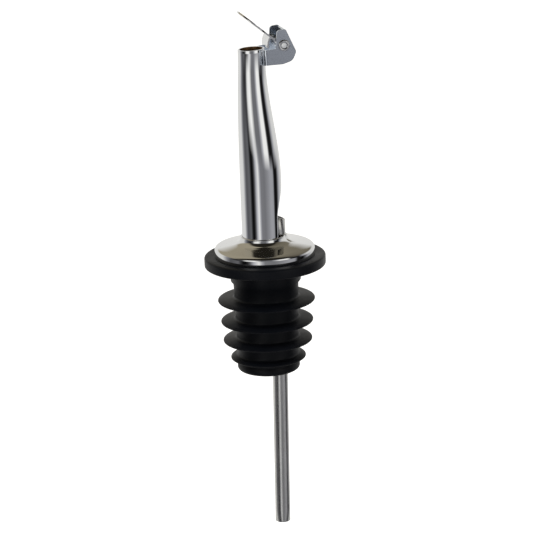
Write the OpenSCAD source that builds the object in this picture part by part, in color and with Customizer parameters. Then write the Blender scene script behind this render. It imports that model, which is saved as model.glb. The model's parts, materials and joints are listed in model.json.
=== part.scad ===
// Liquor pour spout: a bent, tapered metal spout on a dished base flange, a finned rubber
// stopper on an inner shank, a breather tube, and a flap that swings on a rivet behind the mouth.
// Millimetres, +Z up. The origin is on the stopper's axis, at the underside of the rubber
// flange, which rests on the bottle's lip. The spout pours towards -X and the hinge lies along Y.

/* [Spout tube] */
// Height of the middle of the mouth above the seat
mouth_h = 56.3; // [46:0.1:68]
// Outer diameter at the mouth
mouth_d = 6.8; // [6.2:0.1:7.8]
// Outer diameter of the straight base
base_d = 10.6; // [9.4:0.1:11.6]
// Wall thickness
spout_wall = 0.45; // [0.35:0.05:0.6]
// Height at which the straight base ends and the taper starts
taper_h = 22.4; // [20:0.5:28]
// How far the mouth leans from the base towards the pouring side
mouth_lean = 1.2; // [0.6:0.1:1.8]
// How far the base stands from the stopper's axis towards the pouring side
base_shift = 0.4; // [0.3:0.05:0.6]
// How deep the spout reaches below the seat, inside the shank
spout_depth = 3; // [1:0.5:6]

/* [Breather tube] */
// Outer diameter
vent_d = 4; // [3.2:0.1:4.8]
// Wall thickness
vent_wall = 0.4; // [0.3:0.05:0.6]
// Height of the open upper end above the seat
vent_top_h = 12.4; // [10:0.2:15]
// Depth of the lower end below the seat
vent_depth = 71.5; // [45:0.1:90]
// Distance of its axis behind the stopper's axis, at the seat
vent_back = 3.45; // [3.2:0.05:3.6]
// Lean of its axis from the stopper's axis, in degrees
vent_tilt = 0.92; // [0.6:0.02:1.1]
// Slope of the cut across its upper end, in degrees
vent_cut = 20; // [0:1:35]

/* [Dent behind the spout, which makes room for the breather tube] */
// Radius of the pressed-in hollow
dent_r = 6.7; // [5:0.1:9]
// Height at which the hollow starts to fade out
dent_h = 13.4; // [12.4:0.2:15]
// Slope at which the hollow fades out, in degrees
dent_fade = 24; // [18:1:30]

/* [Base flange] */
// Outer diameter
flange_d = 25.9; // [22:0.1:31]
// Sheet thickness
flange_sheet = 0.5; // [0.4:0.05:0.6]
// Height of the turned-down rim, above the rubber
rim_h = 2.6; // [2.2:0.1:3.4]
// Rounding between the rim and the top
rim_round = 1; // [0.7:0.1:1.4]
// Slope of the dished top, in degrees
dish_slope = 9; // [4:1:12]
// Radius of the hollow curve between the top and the collar
collar_fillet = 1.7; // [1.2:0.1:2.2]
// Metal left around the breather tube at the collar
collar_wall = 0.3; // [0.25:0.05:0.6]
// Height of the collar's own lip, above the hollow curve
collar_lip = 0.2; // [0.1:0.05:0.6]

/* [Shank inside the stopper] */
// Wall thickness of the shank
shank_wall = 0.5; // [0.4:0.05:0.6]
// Width of the lip on which the base flange is soldered
shank_lip_w = 4.2; // [3:0.1:4.4]
// Thickness of that lip
shank_lip_t = 0.6; // [0.4:0.1:0.8]
// How far the shank stops short of the stopper's lower end
shank_recess = 0.5; // [0.3:0.1:2]

/* [Rubber stopper] */
// Diameter of the flange that rests on the bottle
seat_d = 31.4; // [31.2:0.1:38]
// Thickness of that flange
seat_t = 2.7; // [1.8:0.1:3]
// Depth of the stopper below the seat
stopper_depth = 28.1; // [27.6:0.1:34]
// Diameter of the core just below the flange
core_top_d = 16.9; // [16.6:0.1:18.6]
// Diameter of the core at the lowest fin
core_low_d = 16.1; // [15.6:0.1:18]
// Diameter of the plain end below the fins
tail_d = 16.4; // [16:0.1:18.4]
// Diameters of the fins, from the top down
fin_d = [25.2, 24.0, 23.2, 19.6];
// Depths of the fins below the seat, from the top down
fin_depth = [9.1, 14.8, 19.9, 24.6];
// Thickness of a fin at its edge
fin_edge = 0.7; // [0.5:0.1:1]
// Rounding between a fin and the core
fin_fillet = 0.75; // [0.4:0.05:1]
// Rounding under the flange
neck_fillet = 1.6; // [1:0.1:2.4]
// Rounding of the lower end
tail_round = 1; // [0.8:0.1:1.6]

/* [Hinge bracket] */
// Distance from the back of the mouth to the hinge axis
hinge_reach = 4.15; // [4:0.05:5]
// Overall width across the two ears
bracket_w = 8.3; // [8:0.1:10]
// Sheet thickness
bracket_sheet = 0.5; // [0.4:0.05:0.6]
// Height of the ears above the hinge axis
ear_up = 4.1; // [3.2:0.1:4.2]
// Depth of the ears below the hinge axis
ear_down = 4.7; // [4.4:0.1:5.4]
// Reach of the ears behind the hinge axis
ear_back = 3.1; // [3:0.1:3.4]
// Depth of the notch that lets the flap's tongue through
notch_depth = 2.6; // [2.4:0.1:3]

/* [Hinge rivet] */
// Diameter of the rivet's shank
rivet_d = 2; // [1.8:0.1:2.2]
// Diameter of the hole through the rivet
rivet_bore_d = 1.4; // [1:0.1:1.5]
// Diameter of the rolled heads
head_d = 3; // [2.8:0.1:3.6]
// Height of a rolled head
head_t = 0.35; // [0.2:0.05:0.5]

/* [Flap] */
// Sheet thickness
flap_sheet = 0.4; // [0.3:0.05:0.5]
// Distance of the sheet's middle below the hinge axis, when closed
flap_drop = 0.35; // [0.3:0.05:0.4]
// How far the flap reaches past the front of the mouth
flap_overhang = 2.65; // [1.5:0.05:4]
// Diameter of the rounded part over the mouth
flap_d = 9.4; // [8.8:0.1:9.8]
// Angle by which the flap stands open above the closed position, in degrees
flap_open = 42.3; // [0:0.1:86]
// Angle that the curved tongue behind the mouth takes up about the hinge axis, in degrees
tongue_turn = 50; // [30:1:52]
// Width of the tongue
tongue_w = 6.3; // [5:0.1:6.6]

/* [Clearances] */
// Gap filled by solder between metal pieces
solder_gap = 0.05; // [0.03:0.01:0.1]
// Radial clearance of the rivet in the flap
running_gap = 0.05; // [0.03:0.01:0.1]
// Gap between the flap and the ears, each side
side_gap = 0.25; // [0.2:0.05:0.4]
// Gap between the flap's tongue and the mouth
tongue_gap = 0.15; // [0.1:0.05:0.3]
// Gap between the closed flap and the mouth
seat_gap = 0.1; // [0.05:0.05:0.2]

/* [Hidden] */
$fn = 96;
eps = 0.01;
far = 40;

// Spout
base_r = base_d / 2;
mouth_r = mouth_d / 2;
taper_rise = mouth_h - taper_h;
lean = atan(mouth_lean / taper_rise);
taper_l = taper_rise / cos(lean);
taper_steps = 16;
// The taper starts this much inside the straight base
taper_step = 0.03;
mouth_x = -base_shift - mouth_lean;

// Breather tube
vent_r = vent_d / 2;
vent_low_x = vent_back - vent_depth * tan(vent_tilt);
function vent_x(z) = vent_back + z * tan(vent_tilt);

// Dent: its floor clears the breather tube at the tube's upper end
dent_x = vent_x(0) - vent_r - 2 * solder_gap;
// The straight hollow runs on this much past the start of the sloping one
dent_step = 0.3;

// Base flange
flange_r = flange_d / 2;
rim_top_z = seat_t + rim_h;
collar_r = vent_x(rim_top_z + collar_fillet) + vent_r + solder_gap + collar_wall;
// The collar reaches in at least as far as the spout's wall
collar_bite = 0.1;
collar_inner_r = min(collar_r - flange_sheet, base_shift + base_r - collar_bite);

// Shank
// The bore takes the spout, and never less than the breather tube beside it
vent_reach = vent_x(seat_t + shank_lip_t) + vent_r;
shank_bore_r = max(base_shift + base_r, vent_reach) + solder_gap;
shank_r = shank_bore_r + shank_wall;

// Hinge
pin_x = mouth_x + mouth_r + hinge_reach;
pin_to_mouth = hinge_reach + mouth_r;
pin_z = mouth_h + (flap_drop + flap_sheet / 2 + seat_gap + pin_to_mouth * sin(lean)) / cos(lean);
half_w = bracket_w / 2;
inner_w = bracket_w - 2 * bracket_sheet;
saddle_z = pin_z - ear_down / 2;
saddle_x = -base_shift - (saddle_z - taper_h) * tan(lean);
saddle_r = spout_r((mouth_h - saddle_z) / taper_rise) + solder_gap + bracket_sheet / 2;
saddle_turn = 45;
// The saddle runs this much further into the bends, in degrees
saddle_overlap = 1;
bend_r = (half_w - bracket_sheet / 2 - saddle_r * sin(saddle_turn)) / (1 + cos(saddle_turn));
bend_x = saddle_x + (saddle_r + bend_r) * cos(saddle_turn);
bend_y = (saddle_r + bend_r) * sin(saddle_turn);
saddle_reach_y = (saddle_r + bracket_sheet / 2) * sin(saddle_turn);
notch_w = 2 * max(bend_y - bracket_sheet / 2, saddle_reach_y);
arm_front = bend_x - bend_r - bracket_sheet / 2 - pin_x;
arm_top_front = -0.98;
arm_top_back = -0.8;
ear_front = -1.9;
ear_top_fall = 0.3;
back_top_x = 0.5;
back_low_z = -1.7;
// Roundings of the ears: at the arm, the top's front and back, then down the back and below
ear_round = [0.5, 0.9, 0.6, 1.2, 1.9, 1.5];
// How far the back wall stops short of the ears' upper and lower corners
wall_inset = [0.25, 0.5];
// Where the rivet's rolled heads start to curve, outside and at the bore
head_edge = 0.2;
roll_edge = 0.1;
// Angle at which the tongue leaves the flap
tongue_start = 184;

// Flap, drawn closed along -X from the hinge axis
flap_l = hinge_reach + mouth_d + flap_overhang;
neck_w = inner_w - 2 * side_gap;
lug_r = rivet_d / 2 + 0.4;
lug_l = 2.9;
tongue_r = norm([hinge_reach, flap_drop + flap_sheet / 2 + seat_gap]) - tongue_gap;

// Radius of the spout's outside from the mouth (0) to the foot of the taper (1)
function ease(u) = u * u * (3 - 2 * u);
function spout_r(u) = mouth_r + (base_r - taper_step - mouth_r) * ease(min(1, max(0, u)));

// Points of an arc, from angle a to angle b
function arc(x, y, r, a, b, steps = 12) =
    [for (i = [0:steps]) [x + r * cos(a + (b - a) * i / steps), y + r * sin(a + (b - a) * i / steps)]];

// Outline with rounded corners: each corner is [x, y, radius]
function unit(v) = v / norm(v);
function corner(p, q, s, r) =
    let (u = unit(p - q), v = unit(s - q), half = acos(u * v) / 2, d = r / tan(half))
    let (c = q + unit(u + v) * r / sin(half), a = q + u * d, b = q + v * d)
    let (a0 = atan2(a[1] - c[1], a[0] - c[0]), b0 = atan2(b[1] - c[1], b[0] - c[0]))
    let (sweep = (b0 - a0 + 540) % 360 - 180)
    arc(c[0], c[1], r, a0, a0 + sweep, 6);
function flat(p) = [p[0], p[1]];
function rounded(points) =
    let (n = len(points))
    [for (i = [0:n - 1])
        let (p = flat(points[(i + n - 1) % n]), q = flat(points[i]), s = flat(points[(i + 1) % n]))
        each (points[i][2] > 0 ? corner(p, q, s, points[i][2]) : [q])];

// Solid form of the spout's outside, grown by `grow` and lengthened by `over` at both ends
module spout_form(grow = 0, over = 0) {
    translate([-base_shift, 0, -spout_depth - over])
        cylinder(r = base_r + grow, h = spout_depth + over + taper_h);
    translate([-base_shift, 0, taper_h])
        rotate([0, -lean, 0])
        rotate_extrude()
        polygon([
            [0, -base_r * tan(lean)],
            [base_r - taper_step + grow, -base_r * tan(lean)],
            for (i = [0:taper_steps - 1])
                [spout_r(1 - i / taper_steps) + grow, taper_l * i / taper_steps],
            [mouth_r + grow, taper_l + over],
            [0, taper_l + over],
        ]);
}

// Pressed-in hollow behind the base, its radius grown by `grow`
module dent_form(grow = 0) {
    translate([dent_x + dent_r, 0, -far])
        cylinder(r = dent_r + grow, h = far + dent_h + dent_step);
    intersection() {
        translate([dent_x, 0, dent_h])
            rotate([0, dent_fade, 0])
            translate([dent_r, 0, -far])
            cylinder(r = dent_r + grow, h = 2 * far);
        translate([-far, -far, dent_h])
            cube(2 * far);
    }
}

module vent_form(r) {
    translate([vent_low_x, 0, -vent_depth])
        rotate([0, vent_tilt, 0])
        translate([0, 0, -eps])
        cylinder(r = r, h = vent_depth + vent_top_h + 2 * vent_d);
}

module spout_tube() {
    color("gainsboro")
    difference() {
        difference() {
            spout_form();
            dent_form();
        }
        difference() {
            spout_form(-spout_wall, 1);
            dent_form(spout_wall);
        }
    }
}

module base_flange() {
    slope_end = collar_r + collar_fillet * (1 - sin(dish_slope));
    knee_x = flange_r - rim_round + rim_round * sin(dish_slope);
    knee_z = rim_top_z - rim_round + rim_round * cos(dish_slope);
    slope_z = knee_z + (knee_x - slope_end) * tan(dish_slope);
    fillet_z = slope_z + collar_fillet * cos(dish_slope);
    top_z = fillet_z + collar_lip;
    t = flange_sheet;
    color("silver")
    difference() {
        rotate_extrude()
            polygon(concat(
                [[flange_r, seat_t]],
                arc(flange_r - rim_round, rim_top_z - rim_round, rim_round, 0, 90 - dish_slope, 8),
                arc(collar_r + collar_fillet, fillet_z, collar_fillet, 270 - dish_slope, 180, 10),
                [[collar_r, top_z], [collar_inner_r, top_z]],
                arc(collar_r + collar_fillet, fillet_z, collar_fillet + t, 180, 270 - dish_slope, 10),
                arc(flange_r - rim_round, rim_top_z - rim_round, rim_round - t, 90 - dish_slope, 0, 8),
                [[flange_r - t, seat_t]]
            ));
        spout_form(solder_gap, 1);
        vent_form(vent_r + solder_gap);
    }
}

module inner_shank() {
    low_z = shank_recess - stopper_depth;
    color("goldenrod")
    difference() {
        union() {
            translate([0, 0, low_z])
                cylinder(r = shank_r, h = seat_t + shank_lip_t - low_z);
            translate([0, 0, seat_t])
                cylinder(r = shank_r + shank_lip_w, h = shank_lip_t);
        }
        translate([0, 0, low_z - 1])
            cylinder(r = shank_bore_r, h = far);
    }
}

// Profile of one fin below the seat, as points from its top root to its bottom root
function core_r(z) =
    let (u = z / fin_depth[3])
    core_top_d / 2 + (core_low_d - core_top_d) / 2 * min(1, u);
function fin_points(i) =
    let (r = fin_d[i] / 2, z = -fin_depth[i], c = core_r(fin_depth[i]), half = fin_edge / 2)
    let (soft = half * 0.4, f = fin_fillet)
    concat(
        arc(c + f, z + half + f, f, 180, 270, 6),
        arc(r - soft, z + half - soft, soft, 90, 0, 4),
        arc(r - soft, z - half + soft, soft, 0, -90, 4),
        arc(c + f, z - half - f, f, 90, 180, 6)
    );

module rubber_stopper() {
    round = seat_t * 0.4;
    neck_r = core_top_d / 2 + neck_fillet;
    color([0.09, 0.09, 0.1])
    rotate_extrude()
    polygon(concat(
        [[shank_r, seat_t]],
        arc(seat_d / 2 - round, seat_t - round, round, 90, 0, 6),
        arc(seat_d / 2 - round, round, round, 0, -90, 6),
        arc(neck_r, -neck_fillet, neck_fillet, 90, 180, 8),
        [for (i = [0:len(fin_d) - 1]) each fin_points(i)],
        [[tail_d / 2, -fin_depth[3] - fin_edge / 2 - fin_fillet]],
        arc(tail_d / 2 - tail_round, tail_round - stopper_depth, tail_round, 0, -90, 8),
        [[shank_r, -stopper_depth]]
    ));
}

module breather_tube() {
    color("lightsteelblue")
    difference() {
        vent_form(vent_r);
        vent_form(vent_r - vent_wall);
        translate([vent_low_x, 0, -vent_depth - 1])
            cylinder(r = 2 * vent_d, h = 1);
        translate([vent_x(vent_top_h), 0, vent_top_h])
            rotate([0, vent_cut, 0])
            translate([-far / 2, -far / 2, 0])
            cube(far);
    }
}

// The bracket seen from above: a saddle round the spout, two front bends and two long arms
module bracket_plan() {
    inner = saddle_r - bracket_sheet / 2;
    outer = saddle_r + bracket_sheet / 2;
    reach = outer * 2;
    side_reach = reach * tan(saddle_turn + saddle_overlap);
    translate([saddle_x, 0])
        intersection() {
            difference() {
                circle(r = outer);
                circle(r = inner);
            }
            polygon([[0, 0], [reach, side_reach], [reach, -side_reach]]);
        }
    for (side = [-1, 1])
        scale([1, side])
        translate([bend_x, bend_y]) {
            intersection() {
                difference() {
                    circle(r = bend_r + bracket_sheet / 2);
                    circle(r = bend_r - bracket_sheet / 2);
                }
                polygon([[0, 0], [0, reach], [-reach, reach], [-reach, -reach * tan(saddle_turn)]]);
            }
            translate([0, bend_r - bracket_sheet / 2])
                square([pin_x + ear_back - bend_x + 1, bracket_sheet]);
        }
}

// The bracket seen from the side, about the hinge axis
module ear_profile() {
    polygon(rounded([
        [arm_front - 1, arm_top_front, 0],
        [ear_front - 0.2, arm_top_back, ear_round[0]],
        [ear_front + 0.15, ear_up - ear_top_fall, ear_round[1]],
        [back_top_x, ear_up, ear_round[2]],
        [ear_back, back_low_z, ear_round[3]],
        [ear_back - 1, 0.75 - ear_down, ear_round[4]],
        [-0.4, -ear_down, ear_round[5]],
        [arm_front - 1, -ear_down - 0.1, 0],
    ]));
}

// Turns a side view into a slab across the hinge
module across(width) {
    rotate([90, 0, 0])
        translate([0, 0, -width / 2])
        linear_extrude(width)
        children();
}

module hinge_bracket() {
    slope = atan2(ear_up - back_low_z, ear_back - back_top_x);
    inward = [-bracket_sheet * sin(slope), -bracket_sheet * cos(slope)];
    wall_top = [back_top_x + wall_inset[0] * cos(slope), ear_up - wall_inset[0] * sin(slope)];
    wall_low = [ear_back - wall_inset[1] * cos(slope), back_low_z + wall_inset[1] * sin(slope)];
    color("lightslategray")
    difference() {
        union() {
            intersection() {
                translate([0, 0, pin_z - 2 * ear_down])
                    linear_extrude(4 * ear_down)
                    bracket_plan();
                translate([pin_x, 0, pin_z])
                    across(2 * bracket_w)
                    ear_profile();
            }
            translate([pin_x, 0, pin_z])
                across(bracket_w - bracket_sheet)
                polygon([wall_top, wall_low, wall_low + inward, wall_top + inward]);
        }
        translate([pin_x, 0, pin_z])
            rotate([90, 0, 0])
            cylinder(r = rivet_d / 2, h = 2 * bracket_w, center = true);
        translate([saddle_x, 0, pin_z - notch_depth + ear_down / 2])
            cube([3 * saddle_r, notch_w, ear_down], center = true);
        spout_form(solder_gap, 5);
    }
}

module hinge_rivet() {
    color("white")
    translate([pin_x, 0, pin_z])
    rotate([90, 0, 0])
    rotate_extrude()
    polygon([
        [rivet_bore_d / 2, -half_w],
        [rivet_d / 2 - roll_edge, -half_w - head_t],
        [head_d / 2 - head_edge, -half_w - head_t],
        [head_d / 2, -half_w - head_t / 2],
        [head_d / 2, -half_w],
        [rivet_d / 2, -half_w],
        [rivet_d / 2, half_w],
        [head_d / 2, half_w],
        [head_d / 2, half_w + head_t / 2],
        [head_d / 2 - head_edge, half_w + head_t],
        [rivet_d / 2 - roll_edge, half_w + head_t],
        [rivet_bore_d / 2, half_w],
    ]);
}

// The flap closed, about the hinge axis: sheet, two lugs and the bent-down tongue
module flap_closed() {
    sheet_z = -flap_drop - flap_sheet / 2;
    lug_y = neck_w / 2 - flap_sheet;
    difference() {
        union() {
            translate([0, 0, sheet_z])
                linear_extrude(flap_sheet)
                union() {
                    translate([-flap_l + flap_d / 2, 0])
                        circle(r = flap_d / 2);
                    translate([-flap_l + flap_d / 2, -neck_w / 2])
                        square([flap_l - flap_d / 2 - lug_r, neck_w]);
                }
            for (y = [lug_y, -neck_w / 2])
                translate([0, y + flap_sheet, 0])
                    rotate([90, 0, 0])
                    linear_extrude(flap_sheet)
                    union() {
                        circle(r = lug_r);
                        polygon([
                            [0, sheet_z],
                            [0, lug_r - flap_sheet],
                            [-lug_r + flap_sheet, lug_r - flap_sheet],
                            [-lug_l, 0],
                            [-lug_l, sheet_z],
                        ]);
                    }
            across(tongue_w)
                polygon(concat(
                    arc(0, 0, tongue_r, tongue_start, 180 + tongue_turn, 12),
                    arc(0, 0, tongue_r - flap_sheet, 180 + tongue_turn, tongue_start, 12)
                ));
        }
        rotate([90, 0, 0])
            cylinder(r = rivet_d / 2 + running_gap, h = 2 * bracket_w, center = true);
    }
}

module flap() {
    color("gainsboro")
    translate([pin_x, 0, pin_z])
    rotate([0, flap_open - lean, 0])
    flap_closed();
}

spout_tube();
base_flange();
inner_shank();
rubber_stopper();
breather_tube();
hinge_bracket();
hinge_rivet();
flap();
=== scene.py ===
import json
import math
import bpy
import bmesh
from mathutils import Matrix, Vector


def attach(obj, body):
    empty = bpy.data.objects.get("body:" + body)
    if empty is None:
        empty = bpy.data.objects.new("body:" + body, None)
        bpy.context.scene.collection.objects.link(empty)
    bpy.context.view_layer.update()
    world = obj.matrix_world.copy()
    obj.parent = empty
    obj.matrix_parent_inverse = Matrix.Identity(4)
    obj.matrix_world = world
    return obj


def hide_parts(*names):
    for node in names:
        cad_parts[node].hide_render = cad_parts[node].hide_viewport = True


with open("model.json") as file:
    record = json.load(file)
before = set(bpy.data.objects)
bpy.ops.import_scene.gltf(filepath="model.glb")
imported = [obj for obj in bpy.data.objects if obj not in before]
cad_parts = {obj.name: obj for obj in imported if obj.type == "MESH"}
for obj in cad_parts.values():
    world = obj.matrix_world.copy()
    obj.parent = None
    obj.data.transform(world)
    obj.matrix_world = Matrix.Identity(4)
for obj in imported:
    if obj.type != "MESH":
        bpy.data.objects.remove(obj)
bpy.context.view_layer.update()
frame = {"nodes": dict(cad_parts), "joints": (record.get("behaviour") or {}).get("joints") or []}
mm = 0.001
hingeAt = Vector(frame["joints"][0]["pos_m"])
print("frame loaded:", len(frame["nodes"]), "nodes")


def easeStep(t):
    t = min(1.0, max(0.0, t))
    return t * t * (3 - 2 * t)


def arcPoints(x, y, radius, start, end, count):
    angles = [math.radians(start + (end - start) * i / count) for i in range(count + 1)]
    return [(x + radius * math.cos(a), y + radius * math.sin(a)) for a in angles]


def finishPiece(name, bm, materials, body, slot, *nodes):
    mesh = bpy.data.meshes.new(name)
    for face in bm.faces:
        face.smooth = True
    bm.to_mesh(mesh)
    bm.free()
    piece = bpy.data.objects.new(name, mesh)
    bpy.context.scene.collection.objects.link(piece)
    for material in materials:
        mesh.materials.append(material)
    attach(piece, body)
    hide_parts(*nodes)
    print(name, "made:", len(mesh.polygons), "faces")
    return piece


def spinProfile(points, steps, closed=False):
    # points are (radius, height) in mm, turned once about Z
    bm = bmesh.new()
    verts = [bm.verts.new((r * mm, 0, z * mm)) for r, z in points]
    pairs = list(zip(verts, verts[1:]))
    if closed:
        pairs.append((verts[-1], verts[0]))
    edges = [bm.edges.new(pair) for pair in pairs]
    bmesh.ops.spin(bm, geom=verts + edges, cent=(0, 0, 0), axis=(0, 0, 1),
                   angle=2 * math.pi, steps=steps, use_merge=True, use_duplicate=False)
    bmesh.ops.remove_doubles(bm, verts=bm.verts, dist=1e-7)
    bmesh.ops.recalc_face_normals(bm, faces=bm.faces)
    return bm


def addBevel(piece, width, segments=2, angle=35):
    bevel = piece.modifiers.new("softEdges", "BEVEL")
    bevel.width = width * mm
    bevel.segments = segments
    bevel.limit_method = "ANGLE"
    bevel.angle_limit = math.radians(angle)


def addWall(piece, thickness, inner):
    wall = piece.modifiers.new("wall", "SOLIDIFY")
    wall.thickness = thickness * mm
    wall.offset = -1
    wall.use_even_offset = True
    wall.material_offset = inner


# materials: every pattern reads Object coordinates, in metres

class Nodes:
    def __init__(self, name):
        self.material = bpy.data.materials.new(name)
        self.material.use_nodes = True
        self.tree = self.material.node_tree
        self.shader = self.tree.nodes["Principled BSDF"]
        self.coords = self.add("ShaderNodeTexCoord").outputs["Object"]

    def add(self, kind, **values):
        node = self.tree.nodes.new(kind)
        for key, value in values.items():
            if hasattr(node, key):
                setattr(node, key, value)
            else:
                node.inputs[key].default_value = value
        return node

    def link(self, source, target):
        self.tree.links.new(source, target)

    def noise(self, scale, stretch=(1, 1, 1), detail=4, roughness=0.55, turn=(0, 0, 0)):
        mapping = self.add("ShaderNodeMapping")
        mapping.inputs["Scale"].default_value = [scale * s for s in stretch]
        mapping.inputs["Rotation"].default_value = turn
        self.link(self.coords, mapping.inputs["Vector"])
        node = self.add("ShaderNodeTexNoise", Scale=1.0, Detail=detail, Roughness=roughness)
        self.link(mapping.outputs[0], node.inputs["Vector"])
        return node.outputs["Fac"]

    def spread(self, source, low, high, start=0.3, end=0.7):
        node = self.add("ShaderNodeMapRange")
        for key, value in zip(("From Min", "From Max", "To Min", "To Max"), (start, end, low, high)):
            node.inputs[key].default_value = value
        self.link(source, node.inputs["Value"])
        return node.outputs["Result"]

    def mixColor(self, factor, first, second):
        node = self.add("ShaderNodeMix", data_type="RGBA")
        node.inputs[6].default_value = (*first, 1)
        node.inputs[7].default_value = (*second, 1)
        self.link(factor, node.inputs[0])
        return node.outputs[2]

    def bump(self, layers):
        # each layer is (height source, depth in mm)
        normal = None
        for height, depth in layers:
            node = self.add("ShaderNodeBump", Strength=1.0, Distance=depth * mm)
            self.link(height, node.inputs["Height"])
            if normal:
                self.link(normal, node.inputs["Normal"])
            normal = node.outputs[0]
        self.link(normal, self.shader.inputs["Normal"])

    def setShader(self, **values):
        for key, value in values.items():
            socket = self.shader.inputs[key.replace("_", " ")]
            socket.default_value = (*value, 1) if isinstance(value, tuple) else value

    def color(self, source):
        self.link(source, self.shader.inputs["Base Color"])

    def rough(self, source):
        self.link(source, self.shader.inputs["Roughness"])


def makeChrome(name, tint, stain, polish, ripple):
    m = Nodes(name)
    m.setShader(Metallic=1.0)
    cloud = m.noise(160, detail=3)
    smear = m.noise(420, stretch=(1, 1, 0.3), detail=5, turn=(0.2, 0.1, 0))
    hairlines = m.noise(900, stretch=(1, 1, 0.05), detail=2)
    m.color(m.mixColor(m.spread(cloud, 0, 1), tint, stain))
    m.rough(m.spread(smear, polish, polish * 2.4, 0.4, 0.8))
    m.bump([(m.noise(130, detail=1), ripple), (hairlines, 0.0006)])
    return m.material


def makeBrass(name):
    m = Nodes(name)
    m.setShader(Metallic=1.0)
    tarnish = m.noise(350, stretch=(1, 1, 0.4), detail=6, roughness=0.6)
    m.color(m.mixColor(m.spread(tarnish, 0, 1), (0.42, 0.25, 0.11), (0.2, 0.12, 0.07)))
    m.rough(m.spread(tarnish, 0.3, 0.55))
    m.bump([(m.noise(1500, stretch=(1, 1, 0.1), detail=3), 0.006)])
    return m.material


def makeRubber(name):
    m = Nodes(name)
    m.setShader(Specular_IOR_Level=0.2)
    bloom = m.noise(90, detail=5, roughness=0.6)
    grain = m.noise(5200, detail=2)
    lumps = m.noise(700, detail=3)
    m.color(m.mixColor(m.spread(bloom, 0, 1), (0.0035, 0.0048, 0.0075), (0.0075, 0.008, 0.0105)))
    m.rough(m.spread(bloom, 0.5, 0.38))
    m.bump([(lumps, 0.012), (grain, 0.006)])
    return m.material


def makeDrawnSteel(name):
    m = Nodes(name)
    m.setShader(Metallic=1.0)
    draw = m.noise(2600, stretch=(1, 1, 0.02), detail=3)
    cloud = m.noise(240, stretch=(1, 1, 0.3), detail=4)
    m.color(m.mixColor(m.spread(cloud, 0, 1), (0.78, 0.78, 0.76), (0.66, 0.66, 0.64)))
    m.rough(m.spread(draw, 0.2, 0.34))
    m.bump([(draw, 0.004), (m.noise(700, detail=3), 0.006)])
    return m.material


def makePlatedSteel(name, tint, shade, low, high, pebble):
    m = Nodes(name)
    m.setShader(Metallic=1.0)
    blotch = m.noise(420, detail=5, roughness=0.65)
    grain = m.noise(3000, detail=3)
    m.color(m.mixColor(m.spread(blotch, 0, 1), tint, shade))
    m.rough(m.spread(blotch, low, high))
    m.bump([(m.noise(900, detail=2), pebble), (grain, 0.003)])
    return m.material


chrome = makeChrome("polishedChrome", (0.88, 0.89, 0.9), (0.84, 0.85, 0.87), 0.015, 0.006)
dishChrome = makeChrome("dishChrome", (0.84, 0.845, 0.85), (0.8, 0.805, 0.81), 0.03, 0.006)
brass = makeBrass("bareBrass")
rubber = makeRubber("mouldedRubber")
drawnSteel = makeDrawnSteel("drawnSteel")
bluePlate = makePlatedSteel("bluePlate", (0.76, 0.81, 0.88), (0.64, 0.69, 0.76), 0.14, 0.22, 0.004)
rivetPlate = makePlatedSteel("rivetPlate", (0.88, 0.89, 0.91), (0.78, 0.79, 0.81), 0.14, 0.24, 0.004)
flapPlate = makePlatedSteel("flapPlate", (0.9, 0.91, 0.92), (0.84, 0.85, 0.86), 0.1, 0.2, 0.004)
print("materials made")


# camera and studio

view = dict(azimuth=-12.5, pitch=16.0, roll=2.1, distance=510.6, lens=133.5,
            aim=(0.0, 0.0, -0.6), side=0.3)


def makeCamera():
    azimuth, pitch = math.radians(view["azimuth"]), math.radians(view["pitch"])
    flat = math.cos(pitch)
    back = Vector((math.sin(azimuth) * flat, -math.cos(azimuth) * flat, math.sin(pitch)))
    right = Vector((math.cos(azimuth), math.sin(azimuth), 0))
    up = back.cross(right)
    place = Vector(view["aim"]) * mm + right * view["side"] * mm + back * view["distance"] * mm
    turn = Matrix((right, up, back)).transposed().to_4x4()
    turn = turn @ Matrix.Rotation(math.radians(-view["roll"]), 4, "Z")
    data = bpy.data.cameras.new("camera")
    data.lens = view["lens"]
    data.sensor_width = 36
    data.clip_start = 0.01
    camera = bpy.data.objects.new("camera", data)
    camera.matrix_world = Matrix.Translation(place) @ turn
    bpy.context.scene.collection.objects.link(camera)
    bpy.context.scene.camera = camera


# tones round the studio: degrees from the camera's side of the room, and how light it is (0 to 255)
studio = dict(
    low=[(-180, 218), (-112, 212), (-96, 124), (-86, 82), (-64, 98), (-58, 60), (-52, 26), (-46, 18), (-40, 42),
         (-34, 90), (-25, 175), (-14, 228), (-7, 165), (0, 118), (20, 112), (40, 134), (56, 152), (71, 148),
         (79, 30), (97, 18), (105, 90), (116, 160), (143, 210), (180, 218)],
    high=[(-180, 218), (-112, 210), (-97, 134), (-82, 72), (-66, 32), (-53, 80), (-42, 225), (-25, 245),
          (-16, 190), (-8, 108), (14, 106), (24, 165), (34, 238), (52, 238), (60, 60), (69, 20),
          (84, 40), (97, 155), (112, 205), (180, 218)],
    ceiling=[(-180, 132), (-172, 146), (-120, 150), (-84, 146), (-62, 48), (-40, 36), (45, 36), (66, 42),
             (84, 90), (130, 106), (173, 110), (180, 132)],
    wallTurn=(-9.5, -5.5), ceilingTurn=(17, 25),
    ceilingTint=(1.06, 0.94, 0.66), floorDrop=260, strength=1.12)


def toneColor(tone):
    value = (tone / 255) ** 2.2
    warm = 0.5 < value
    return (value, value * (0.99 if warm else 1.0), value * (0.96 if warm else 1.06), 1)


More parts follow.
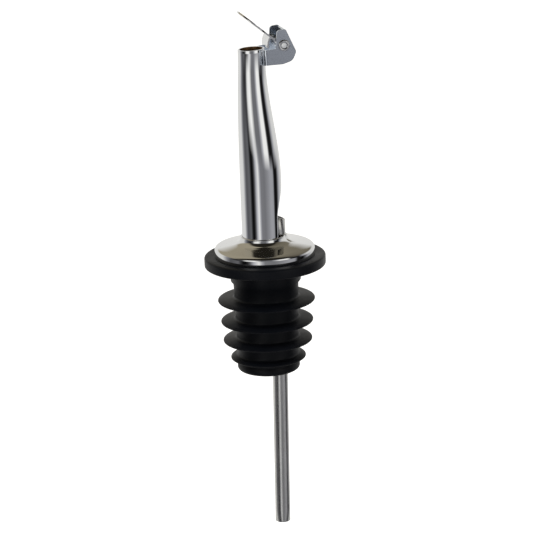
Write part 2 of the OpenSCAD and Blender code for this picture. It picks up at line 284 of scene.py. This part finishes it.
def makeWorld():
    world = bpy.data.worlds.new("studio")
    bpy.context.scene.world = world
    world.use_nodes = True
    tree = world.node_tree
    tree.nodes.clear()

    def add(kind, **values):
        node = tree.nodes.new(kind)
        for key, value in values.items():
            setattr(node, key, value)
        return node

    def wire(source, target):
        tree.links.new(source, target)

    coords = add("ShaderNodeTexCoord")
    turn = add("ShaderNodeVectorRotate", rotation_type="Z_AXIS")
    turn.inputs["Angle"].default_value = math.radians(90 - view["azimuth"])
    wire(coords.outputs["Generated"], turn.inputs["Vector"])
    split = add("ShaderNodeSeparateXYZ")
    wire(turn.outputs[0], split.inputs[0])
    bearing = add("ShaderNodeMath", operation="ARCTAN2")
    wire(split.outputs["Y"], bearing.inputs[0])
    wire(split.outputs["X"], bearing.inputs[1])
    share = add("ShaderNodeMapRange")
    share.inputs["From Min"].default_value = -math.pi
    share.inputs["From Max"].default_value = math.pi
    wire(bearing.outputs[0], share.inputs["Value"])
    ramps = []
    for key in ("low", "high", "ceiling"):
        ramp = add("ShaderNodeValToRGB")
        stops = ramp.color_ramp.elements
        # a ramp starts with two stops, which take the first and the last tone
        stops[0].color = toneColor(studio[key][0][1])
        stops[1].color = toneColor(studio[key][-1][1])
        for degrees, tone in studio[key][1:-1]:
            stops.new(0.5 + degrees / 360).color = toneColor(tone)
        wire(share.outputs["Result"], ramp.inputs["Fac"])
        ramps.append(ramp)

    def between(limits):
        node = add("ShaderNodeMapRange")
        for key, degrees in zip(("From Min", "From Max"), limits):
            node.inputs[key].default_value = math.sin(math.radians(degrees))
        wire(split.outputs["Z"], node.inputs["Value"])
        return node.outputs["Result"]

    walls = add("ShaderNodeMix", data_type="RGBA")
    wire(between(studio["wallTurn"]), walls.inputs[0])
    wire(ramps[0].outputs["Color"], walls.inputs[6])
    wire(ramps[1].outputs["Color"], walls.inputs[7])
    room = add("ShaderNodeMix", data_type="RGBA")
    tint = add("ShaderNodeMix", data_type="RGBA", blend_type="MULTIPLY")
    tint.inputs[0].default_value = 1.0
    tint.inputs[7].default_value = (*studio["ceilingTint"], 1)
    wire(ramps[2].outputs["Color"], tint.inputs[6])
    wire(tint.outputs[2], room.inputs[7])
    wire(between(studio["ceilingTurn"]), room.inputs[0])
    wire(walls.outputs[2], room.inputs[6])
    light = add("ShaderNodeBackground")
    light.inputs["Strength"].default_value = studio["strength"]
    wire(room.outputs[2], light.inputs["Color"])
    plain = add("ShaderNodeBackground")
    plain.inputs["Color"].default_value = (1, 1, 1, 1)
    path = add("ShaderNodeLightPath")
    choose = add("ShaderNodeMixShader")
    wire(path.outputs["Is Camera Ray"], choose.inputs[0])
    wire(light.outputs[0], choose.inputs[1])
    wire(plain.outputs[0], choose.inputs[2])
    output = add("ShaderNodeOutputWorld")
    wire(choose.outputs[0], output.inputs["Surface"])


def makeFloor():
    bm = bmesh.new()
    bmesh.ops.create_grid(bm, x_segments=1, y_segments=1, size=15,
                          matrix=Matrix.Translation((0, 0, -studio["floorDrop"] * mm)))
    mesh = bpy.data.meshes.new("floor")
    bm.to_mesh(mesh)
    bm.free()
    floor = bpy.data.objects.new("floor", mesh)
    bpy.context.scene.collection.objects.link(floor)
    m = Nodes("paleFloor")
    m.setShader(Base_Color=(0.9, 0.9, 0.9), Roughness=0.9,
                Emission_Color=(1, 1, 1), Emission_Strength=0.9)
    mesh.materials.append(m.material)
    floor.visible_glossy = False
    floor.visible_diffuse = False


def makeLight(name, place, aim, size, power):
    data = bpy.data.lights.new(name, "AREA")
    data.shape = "DISK"
    data.size = size
    data.energy = power
    light = bpy.data.objects.new(name, data)
    direction = Vector(aim) - Vector(place)
    turn = direction.to_track_quat("-Z", "Y").to_matrix().to_4x4()
    light.matrix_world = Matrix.Translation(place) @ turn
    light.visible_glossy = False
    bpy.context.scene.collection.objects.link(light)


bpy.context.scene.view_settings.view_transform = "Standard"
makeCamera()
makeWorld()
makeFloor()
makeLight("softTop", (-0.5, -0.6, 1.1), (0, 0, 0), 0.7, 9)
makeLight("softSide", (0.9, 0.2, 0.5), (0, 0, 0), 0.6, 4)
print("studio made")


# spout: a straight foot, a long taper that swings forward, and a hollow behind for the breather

spout = dict(bottom=-3.0, top=56.3, footRadius=5.3, mouthRadius=3.4, footX=-0.4, lean=1.2,
             taperStart=22.4, wall=0.45, hollowX=1.36, hollowRadius=6.7, hollowTop=12.9,
             fadeLength=9.4, fadeDepth=4.6, fadePower=1.35, lipBlend=0.25,
             leanLength=27.5, hollowEnd=30, rimRound=0.2, segments=144, rings=76)


def spoutRadius(z):
    rise = (spout["top"] - z) / (spout["top"] - spout["taperStart"])
    return spout["mouthRadius"] + (spout["footRadius"] - spout["mouthRadius"]) * easeStep(rise)


def spoutCentre(z):
    return spout["footX"] - spout["lean"] * easeStep((z - spout["taperStart"]) / spout["leanLength"])


def hollowFloor(y, z):
    radius = spout["hollowRadius"]
    fade = max(0.0, (z - spout["hollowTop"]) / spout["fadeLength"])
    depth = spout["hollowX"] + spout["fadeDepth"] * fade ** spout["fadePower"]
    return depth + radius - math.sqrt(max(0.0, radius ** 2 - y ** 2))


def makeSpout():
    bm = bmesh.new()
    bmesh.ops.create_circle(bm, cap_ends=False, segments=spout["segments"], radius=spout["footRadius"] * mm)
    bmesh.ops.translate(bm, verts=bm.verts, vec=(spout["footX"] * mm, 0, spout["bottom"] * mm))
    edges = bm.edges[:]
    lastZ = spout["bottom"]
    for ring in range(1, spout["rings"] + 1):
        z = spout["bottom"] + (spout["top"] - spout["bottom"]) * ring / spout["rings"]
        made = bmesh.ops.extrude_edge_only(bm, edges=edges)["geom"]
        verts = [v for v in made if isinstance(v, bmesh.types.BMVert)]
        inRing = set(verts)
        edges = [e for e in made if isinstance(e, bmesh.types.BMEdge) and inRing.issuperset(e.verts)]
        centre = Vector((spoutCentre(lastZ), 0, lastZ)) * mm
        grow = spoutRadius(z) / spoutRadius(lastZ)
        bmesh.ops.scale(bm, verts=verts, vec=(grow, grow, 1), space=Matrix.Translation(-centre))
        step = Vector((spoutCentre(z) - spoutCentre(lastZ), 0, z - lastZ)) * mm
        bmesh.ops.translate(bm, verts=verts, vec=step)
        lastZ = z
    # the rings tip with the spout, so the mouth is square to its lean
    tip = math.atan(spout["lean"] / (spout["top"] - spout["taperStart"]))
    for v in bm.verts:
        z = v.co.z / mm
        share = easeStep((z - spout["taperStart"]) / (spout["top"] - spout["taperStart"]))
        v.co.z += (v.co.x - spoutCentre(z) * mm) * math.tan(tip) * share
    # press the hollow in from behind, with a soft lip
    blend = spout["lipBlend"]
    for v in bm.verts:
        x, y, z = v.co / mm
        if x > 0 and z < spout["hollowEnd"]:
            gap = hollowFloor(y, z) - x
            v.co.x = (x + 0.5 * (gap - math.sqrt(gap * gap + blend * blend))) * mm
    bmesh.ops.recalc_face_normals(bm, faces=bm.faces)
    piece = finishPiece("spout", bm, [chrome, brass], "pourer", "chrome", "spout_tube")
    addWall(piece, spout["wall"], inner=1)
    addBevel(piece, spout["rimRound"], segments=3, angle=50)
    return piece


# base flange: a stamped dish whose collar follows the spout and the breather side by side

flange = dict(radius=12.93, collar=5.95, rimUpright=0.8, slopeRings=6,
              bottom=2.72, top=5.3, sheet=0.45, round=1.0, slope=9.0,
              fillet=1.75, lip=0.15, collarGap=0.46, ventX=3.53, ventRadius=2.0,
              lobeReach=3.2, segments=256)


def collarReach(angle):
    reach = 0.0
    for x, r in ((spout["footX"], spout["footRadius"]), (flange["ventX"], flange["ventRadius"])):
        r += flange["collarGap"]
        inside = r * r - (x * math.sin(angle)) ** 2
        if inside > 0:
            reach = max(reach, x * math.cos(angle) + math.sqrt(inside))
    return reach


def flangeProfile():
    slope, rounding, fillet = flange["slope"], flange["round"], flange["fillet"]
    collar = flange["collar"]
    rimTop = flange["bottom"] + flange["rimUpright"]
    profile = [(flange["radius"], flange["bottom"]), (flange["radius"], rimTop)]
    profile += arcPoints(flange["radius"] - rounding, flange["top"] - rounding, rounding, 0, 90 - slope, 8)
    kneeX, kneeZ = profile[-1]
    footX = collar + fillet * (1 - math.sin(math.radians(slope)))
    rise = math.tan(math.radians(slope))
    for i in range(1, flange["slopeRings"]):
        x = kneeX + (footX - kneeX) * i / flange["slopeRings"]
        profile.append((x, kneeZ + (kneeX - x) * rise))
    filletZ = kneeZ + (kneeX - footX) * rise + fillet * math.cos(math.radians(slope))
    profile += arcPoints(collar + fillet, filletZ, fillet, 270 - slope, 180, 10)
    profile.append((collar, filletZ + flange["lip"]))
    return profile


def makeFlange():
    profile, collar = flangeProfile(), flange["collar"]
    bm = bmesh.new()
    bmesh.ops.create_circle(bm, cap_ends=False, segments=flange["segments"], radius=profile[0][0] * mm)
    bmesh.ops.translate(bm, verts=bm.verts, vec=(0, 0, profile[0][1] * mm))
    edges = bm.edges[:]
    for (lastR, lastZ), (r, z) in zip(profile, profile[1:]):
        made = bmesh.ops.extrude_edge_only(bm, edges=edges)["geom"]
        verts = [v for v in made if isinstance(v, bmesh.types.BMVert)]
        inRing = set(verts)
        edges = [e for e in made if isinstance(e, bmesh.types.BMEdge) and inRing.issuperset(e.verts)]
        bmesh.ops.scale(bm, verts=verts, vec=(r / lastR, r / lastR, 1))
        bmesh.ops.translate(bm, verts=verts, vec=(0, 0, (z - lastZ) * mm))
    # near the collar the rings follow the two tubes instead of a circle
    for v in bm.verts:
        r = v.co.xy.length / mm
        weight = 1 - easeStep((r - collar) / flange["lobeReach"])
        if weight > 0:
            angle = math.atan2(v.co.y, v.co.x)
            reach = r + (collarReach(angle) - collar) * weight
            v.co.x, v.co.y = reach * mm * math.cos(angle), reach * mm * math.sin(angle)
    bmesh.ops.recalc_face_normals(bm, faces=bm.faces)
    piece = finishPiece("baseFlange", bm, [dishChrome, brass], "pourer", "chrome", "base_flange")
    addWall(piece, flange["sheet"], inner=1)
    addBevel(piece, 0.1, segments=2, angle=50)
    return piece


# rubber stopper, one turned profile

stopper = dict(seatRadius=15.68, seatRound=0.5, seatThickness=2.7, bore=6.25,
               coreTop=8.45, coreLow=8.05,
               tailRadius=8.15, depth=28.08, tailRound=0.9, neckFillet=1.2,
               stepRadius=9.1, stepDepth=3.9, stepFall=0.8, tailDrop=1.35,
               finRadii=(12.6, 12.0, 11.6, 9.8), finDepths=(9.1, 14.8, 19.9, 24.6),
               finRoot=0.55, finTip=0.2, rootFillet=0.7, droop=0.25, segments=192)


def finOutline(index):
    radius, z = stopper["finRadii"][index], -stopper["finDepths"][index]
    share = stopper["finDepths"][index] / stopper["finDepths"][-1]
    core = stopper["coreTop"] + (stopper["coreLow"] - stopper["coreTop"]) * share
    fillet, root, tip, droop = (stopper[k] for k in ("rootFillet", "finRoot", "finTip", "droop"))
    upper = arcPoints(core + fillet, z + root + fillet, fillet, 180, 262, 6)
    lower = arcPoints(core + fillet, z - root - fillet, fillet, 98, 180, 6)
    mid = core + fillet + 0.5 * (radius - core - fillet)
    edge = arcPoints(radius - tip, z - droop * 0.4, tip, 80, -80, 6)
    return upper + [(mid, z + 0.5 * (root + tip))] + edge + [(mid, z - 0.5 * (root + tip))] + lower


def makeStopper():
    seat, thick, bore = stopper["seatRadius"], stopper["seatThickness"], stopper["bore"]
    fillet = stopper["neckFillet"]
    soft = stopper["seatRound"]
    outline = [(bore, thick), (seat - 2 * soft, thick)]
    outline += arcPoints(seat - soft, thick - soft, soft, 80, 0, 6)
    outline += arcPoints(seat - soft, soft, soft, 0, -80, 6)
    step, stepDepth = stopper["stepRadius"], stopper["stepDepth"]
    outline += [(seat - 2 * soft, 0), (step + fillet + 0.35, 0)]
    outline += arcPoints(step + fillet, -fillet, fillet, 84, 180, 8)
    outline += [(step, -stepDepth), (stopper["coreTop"], -stepDepth - stopper["stepFall"])]
    for index in range(len(stopper["finRadii"])):
        outline += finOutline(index)
    tailRound, depth, tail = stopper["tailRound"], stopper["depth"], stopper["tailRadius"]
    outline += [(tail, -stopper["finDepths"][-1] - stopper["tailDrop"])]
    outline += arcPoints(tail - tailRound, tailRound - depth, tailRound, 0, -90, 8)
    outline += [(bore, -depth)]
    bm = spinProfile(outline, stopper["segments"], closed=True)
    return finishPiece("stopper", bm, [rubber], "pourer", "rubber", "rubber_stopper")


# breather tube, leaning a little, its upper end cut low at the back

breather = dict(radius=2.0, wall=0.4, top=12.4, bottom=-71.5, back=3.45, tilt=0.92, cut=20.0,
                cutFade=6.0, edge=0.06, segments=96, rings=24)


def makeBreather():
    outer, inner = breather["radius"], breather["radius"] - breather["wall"]
    low, high, edge = breather["bottom"], breather["top"], breather["edge"]
    rings, span = breather["rings"], high - low - 2 * edge
    heights = [low + edge + span * i / rings for i in range(rings + 1)]
    outline = [(outer - edge, low)] + [(outer, z) for z in heights] + [(outer - edge, high)]
    outline += [(inner + edge, high)] + [(inner, z) for z in reversed(heights)] + [(inner + edge, low)]
    bm = spinProfile(outline, breather["segments"], closed=True)
    slant = math.tan(math.radians(breather["cut"]))
    for v in bm.verts:
        share = max(0.0, (v.co.z / mm - (high - breather["cutFade"])) / breather["cutFade"])
        v.co.z -= v.co.x * slant * share
    lean = math.tan(math.radians(breather["tilt"]))
    shear = Matrix.Identity(4)
    shear[0][2] = lean
    bmesh.ops.transform(bm, matrix=Matrix.Translation((breather["back"] * mm, 0, 0)) @ shear, verts=bm.verts)
    return finishPiece("breather", bm, [drawnSteel], "pourer", "stainless", "breather_tube")


# hinge pieces keep the CAD shape, with their edges eased

def cadCopy(node):
    bm = bmesh.new()
    bm.from_mesh(frame["nodes"][node].data)
    bmesh.ops.remove_doubles(bm, verts=bm.verts, dist=1e-7)
    bmesh.ops.dissolve_limit(bm, angle_limit=math.radians(1.5), verts=bm.verts, edges=bm.edges)
    return bm


def easeEdges(piece, width):
    addBevel(piece, width, segments=3, angle=40)
    flat = piece.modifiers.new("flatFaces", "WEIGHTED_NORMAL")
    flat.keep_sharp = True


bracket = dict(wallTop=(0.5, 4.1), wallLow=(3.1, -1.7), foldRadius=0.5, edge=0.16)
hinge = dict(halfWidth=4.15, rivetBore=0.7, rivetRadius=1.0, headRadius=1.48, headHeight=0.34)
flapEdge = 0.08


def makeBracket():
    bm = cadCopy("hinge_bracket")
    # the two long folds between the ears and the sloping back wall
    wall = Vector(bracket["wallLow"]) - Vector(bracket["wallTop"])
    out = Vector((-wall.y, wall.x)).normalized()
    reach = out.dot(Vector(bracket["wallTop"]))

    def onFold(v):
        place = (v.co - hingeAt) / mm
        side = abs(abs(place.y) - hinge["halfWidth"])
        return side < 0.02 and abs(out.dot(Vector((place.x, place.z))) - reach) < 0.03

    folds = [e for e in bm.edges if all(onFold(v) for v in e.verts) and e.calc_length() > 1.5 * mm]
    print("bracket folds:", len(folds))
    bmesh.ops.bevel(bm, geom=folds, offset=bracket["foldRadius"] * mm, segments=5, profile=0.5,
                    affect="EDGES", material=-1, clamp_overlap=True)
    piece = finishPiece("hingeBracket", bm, [bluePlate], "pourer", "zinc_plate", "hinge_bracket")
    easeEdges(piece, bracket["edge"])
    return piece


def makeFlap():
    piece = finishPiece("flapPlate", cadCopy("flap"), [flapPlate], "flap", "flap_chrome", "flap")
    easeEdges(piece, flapEdge)
    return piece


def makeRivet():
    bore, shank, head, height = (hinge[k] for k in ("rivetBore", "rivetRadius", "headRadius", "headHeight"))
    half = hinge["halfWidth"]
    ring = 0.5 * (head - bore)
    middle = bore + ring

    # from the bore out over the rolled head to its edge
    def headArc(side):
        turns = [math.radians(a) for a in range(0, 181, 15)]
        return [(middle - ring * math.cos(a), side * (half + height * math.sin(a))) for a in turns]

    outline = headArc(-1) + [(shank, -half), (shank, half)] + headArc(1)[::-1]
    bm = spinProfile(outline, 64, closed=True)
    turn = Matrix.Translation(hingeAt) @ Matrix.Rotation(math.radians(90), 4, "X")
    bmesh.ops.transform(bm, matrix=turn, verts=bm.verts)
    return finishPiece("hingeRivet", bm, [rivetPlate], "pourer", "rivet_steel", "hinge_rivet")


makeSpout()
makeFlange()
makeStopper()
makeBreather()
makeBracket()
makeFlap()
makeRivet()

shank = frame["nodes"]["inner_shank"]
shank.data.materials.clear()
shank.data.materials.append(brass)
